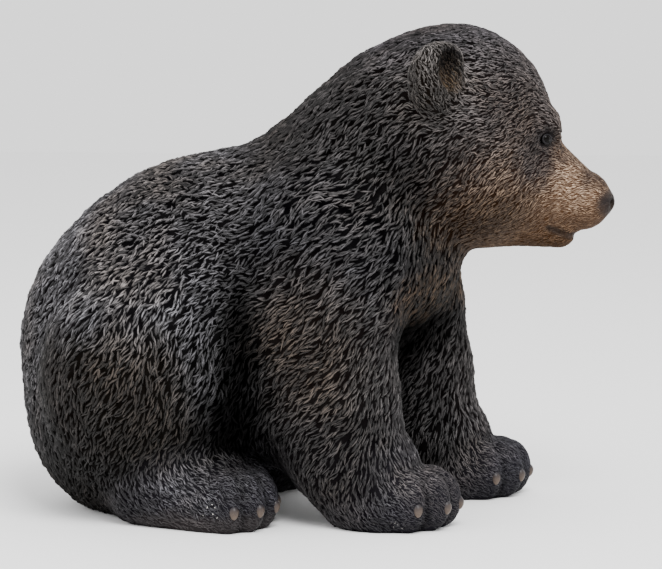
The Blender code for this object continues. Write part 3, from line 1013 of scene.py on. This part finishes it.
def speckMask(nodes, links, place, reach):  # 1 at a place on the object, fading to 0 at reach
    spot = nodes.new("ShaderNodeTexCoord")
    gap = nodes.new("ShaderNodeVectorMath")
    gap.operation = "DISTANCE"
    gap.inputs[1].default_value = place
    links.new(spot.outputs["Object"], gap.inputs[0])
    return rangeNode(nodes, links, gap.outputs["Value"], 0.4 * reach, reach, 1, 0)


def bumpNode(nodes, links, height, distance, strength=0.6):
    bump = nodes.new("ShaderNodeBump")
    bump.inputs["Distance"].default_value = distance
    bump.inputs["Strength"].default_value = strength
    links.new(height, bump.inputs["Height"])
    return bump.outputs["Normal"]


def finishPaint(nodes, links, shader, spec, colour, grain, height):
    links.new(colour, shader.inputs["Base Color"])
    roughness = rangeNode(nodes, links, grain, 0.3, 0.7, *spec["roughness"])
    links.new(roughness, shader.inputs["Roughness"])
    links.new(bumpNode(nodes, links, height, spec["bump"]), shader.inputs["Normal"])


def furPaint():
    material, nodes, links, shader = newMaterial("dry_brushed_fur")

    def times(first, second):
        return mathNode(nodes, links, "MULTIPLY", first, second)

    ridge = mathNode(nodes, links, "POWER", attributeNode(nodes, "ridge"),
                     paintSpec["ridgeSharpness"])
    shade = rangeNode(nodes, links, attributeNode(nodes, "shade"), *paintSpec["shadeLimits"])
    patch = noiseRange(nodes, links, paintSpec["patchScale"], paintSpec["patchLimits"])
    fleck = noiseRange(nodes, links, paintSpec["fleckScale"], paintSpec["fleckLimits"])
    phase = mathNode(nodes, links, "MULTIPLY_ADD", attributeNode(nodes, "side"),
                     paintSpec["strands"])
    links.new(times(attributeNode(nodes, "shade"), paintSpec["strandStart"]), phase.node.inputs[2])
    hair = mathNode(nodes, links, "SINE", phase, 0.0)  # fine hairs along each lock
    strand = rangeNode(nodes, links, hair, *paintSpec["strandLimits"])
    tipShare = times(times(ridge, times(shade, patch)), times(fleck, strand))
    brown = noiseRange(nodes, links, paintSpec["brownScale"], paintSpec["brownLimits"])
    # the groove and tip paint carry the painted shade patches and the painted top light
    tip = mixNode(nodes, links, brown, attributeNode(nodes, "tipPaint", "Color"),
                  paintSpec["brownTint"], blend="MULTIPLY")
    colour = mixNode(nodes, links, tipShare, attributeNode(nodes, "groovePaint", "Color"), tip)
    grit = noiseRange(nodes, links, paintSpec["speckScale"], paintSpec["speckLimits"])
    for place, reach, amount in paintSpec["specks"]:
        chips = times(times(speckMask(nodes, links, place, reach), amount), grit)
        colour = mixNode(nodes, links, chips, colour, paintSpec["speckColour"])
    sheen = rangeNode(nodes, links, tip, 0, paintSpec["sheenTip"], 0, paintSpec["sheen"])
    links.new(times(attributeNode(nodes, "ridge"), sheen), shader.inputs["Specular IOR Level"])
    grain = noiseNode(nodes, links, paintSpec["grainScale"])
    height = mathNode(nodes, links, "ADD", times(hair, paintSpec["hairBump"]), grain)
    finishPaint(nodes, links, shader, paintSpec, colour, grain, height)
    return material


def eyeGlass():
    material, nodes, links, shader = newMaterial("glossy_eye")
    colour = mixNode(nodes, links, noiseNode(nodes, links, eyePaintSpec["scale"]),
                     eyePaintSpec["dark"], eyePaintSpec["light"])
    smear = noiseNode(nodes, links, eyePaintSpec["smearScale"])
    shader.inputs["Specular IOR Level"].default_value = eyePaintSpec["sheen"]
    finishPaint(nodes, links, shader, eyePaintSpec, colour, smear, smear)
    return material


def clawPaint():
    material, nodes, links, shader = newMaterial("claw_paint")
    grain = noiseNode(nodes, links, clawPaintSpec["scale"])
    along = attributeNode(nodes, "along")
    share = mathNode(nodes, links, "MULTIPLY",
                     rangeNode(nodes, links, along, *clawPaintSpec["tipLimits"]),
                     rangeNode(nodes, links, grain, *clawPaintSpec["grainLimits"]))
    colour = mixNode(nodes, links, share, clawPaintSpec["dark"], clawPaintSpec["light"])
    shader.inputs["Specular IOR Level"].default_value = clawPaintSpec["sheen"]
    finishPaint(nodes, links, shader, clawPaintSpec, colour, grain, grain)
    return material


def lidPaint():
    material, nodes, links, shader = newMaterial("lid_paint")
    grain = noiseNode(nodes, links, lidPaintSpec["scale"])
    share = rangeNode(nodes, links, grain, *lidPaintSpec["limits"])
    colour = mixNode(nodes, links, share, lidPaintSpec["dark"], lidPaintSpec["light"])
    shader.inputs["Specular IOR Level"].default_value = lidPaintSpec["sheen"]
    finishPaint(nodes, links, shader, lidPaintSpec, colour, grain, grain)
    return material


print("painting")
fur = furPaint()
for piece in (headSkin, bodySkin, *furObjects):
    piece.data.materials.append(fur)
eyes.data.materials.append(eyeGlass())
lids.data.materials.append(lidPaint())
claws.data.materials.append(clawPaint())

for piece in (headSkin, bodySkin, *furObjects, eyes, lids, claws):
    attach(piece, "root")
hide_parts("bear_cub")


# Studio

studioSpec = {
    "floor": (244, 244, 244),
    "floorSize": 6.0,
    "keyEnergy": 55.0,
    "fillEnergy": 8.0,
    "world": 1.6,
    "aim": (0, 0, 0.12),  # where both lamps point
}


def studio():
    bm = bmesh.new()
    bmesh.ops.create_grid(bm, x_segments=1, y_segments=1, size=studioSpec["floorSize"] / 2)
    floor = fromBmesh("floor", bm)
    material, _, _, shader = newMaterial("pale_floor")
    shader.inputs["Base Color"].default_value = (*linear(studioSpec["floor"]), 1)
    shader.inputs["Roughness"].default_value = 0.9
    floor.data.materials.append(material)
    world = bpy.data.worlds.new("studio")
    world.use_nodes = True
    world.node_tree.nodes["Background"].inputs["Color"].default_value = (1, 1, 1, 1)
    world.node_tree.nodes["Background"].inputs["Strength"].default_value = studioSpec["world"]
    bpy.context.scene.world = world
    for name, place, size, energy in (
        ("key", (0.5, -1.1, 1.6), 0.9, studioSpec["keyEnergy"]),
        ("fill", (-1.4, -0.9, 0.9), 1.2, studioSpec["fillEnergy"]),
    ):
        light = bpy.data.lights.new(name, "AREA")
        light.size = size
        light.energy = energy
        lamp = bpy.data.objects.new(name, light)
        lamp.location = place
        aim = Vector(studioSpec["aim"]) - Vector(place)
        lamp.rotation_euler = aim.to_track_quat("-Z", "Y").to_euler()
        bpy.context.scene.collection.objects.link(lamp)


cameraSpec = {"azimuth": 5.0, "distance": 1.5, "height": 0.31, "target": Vector((0.0096, 0, 0.131)),
              "lens": 141.6}


def camera():
    data = bpy.data.cameras.new("camera")
    data.sensor_width = 36
    data.lens = cameraSpec["lens"]
    turn = math.radians(cameraSpec["azimuth"])
    target = cameraSpec["target"]
    place = Vector((target.x + cameraSpec["distance"] * math.sin(turn),
                    -cameraSpec["distance"] * math.cos(turn), cameraSpec["height"]))
    made = bpy.data.objects.new("camera", data)
    made.location = place
    made.rotation_mode = "QUATERNION"
    made.rotation_quaternion = (target - place).to_track_quat("-Z", "Y")
    bpy.context.scene.collection.objects.link(made)
    bpy.context.scene.camera = made


studio()
camera()
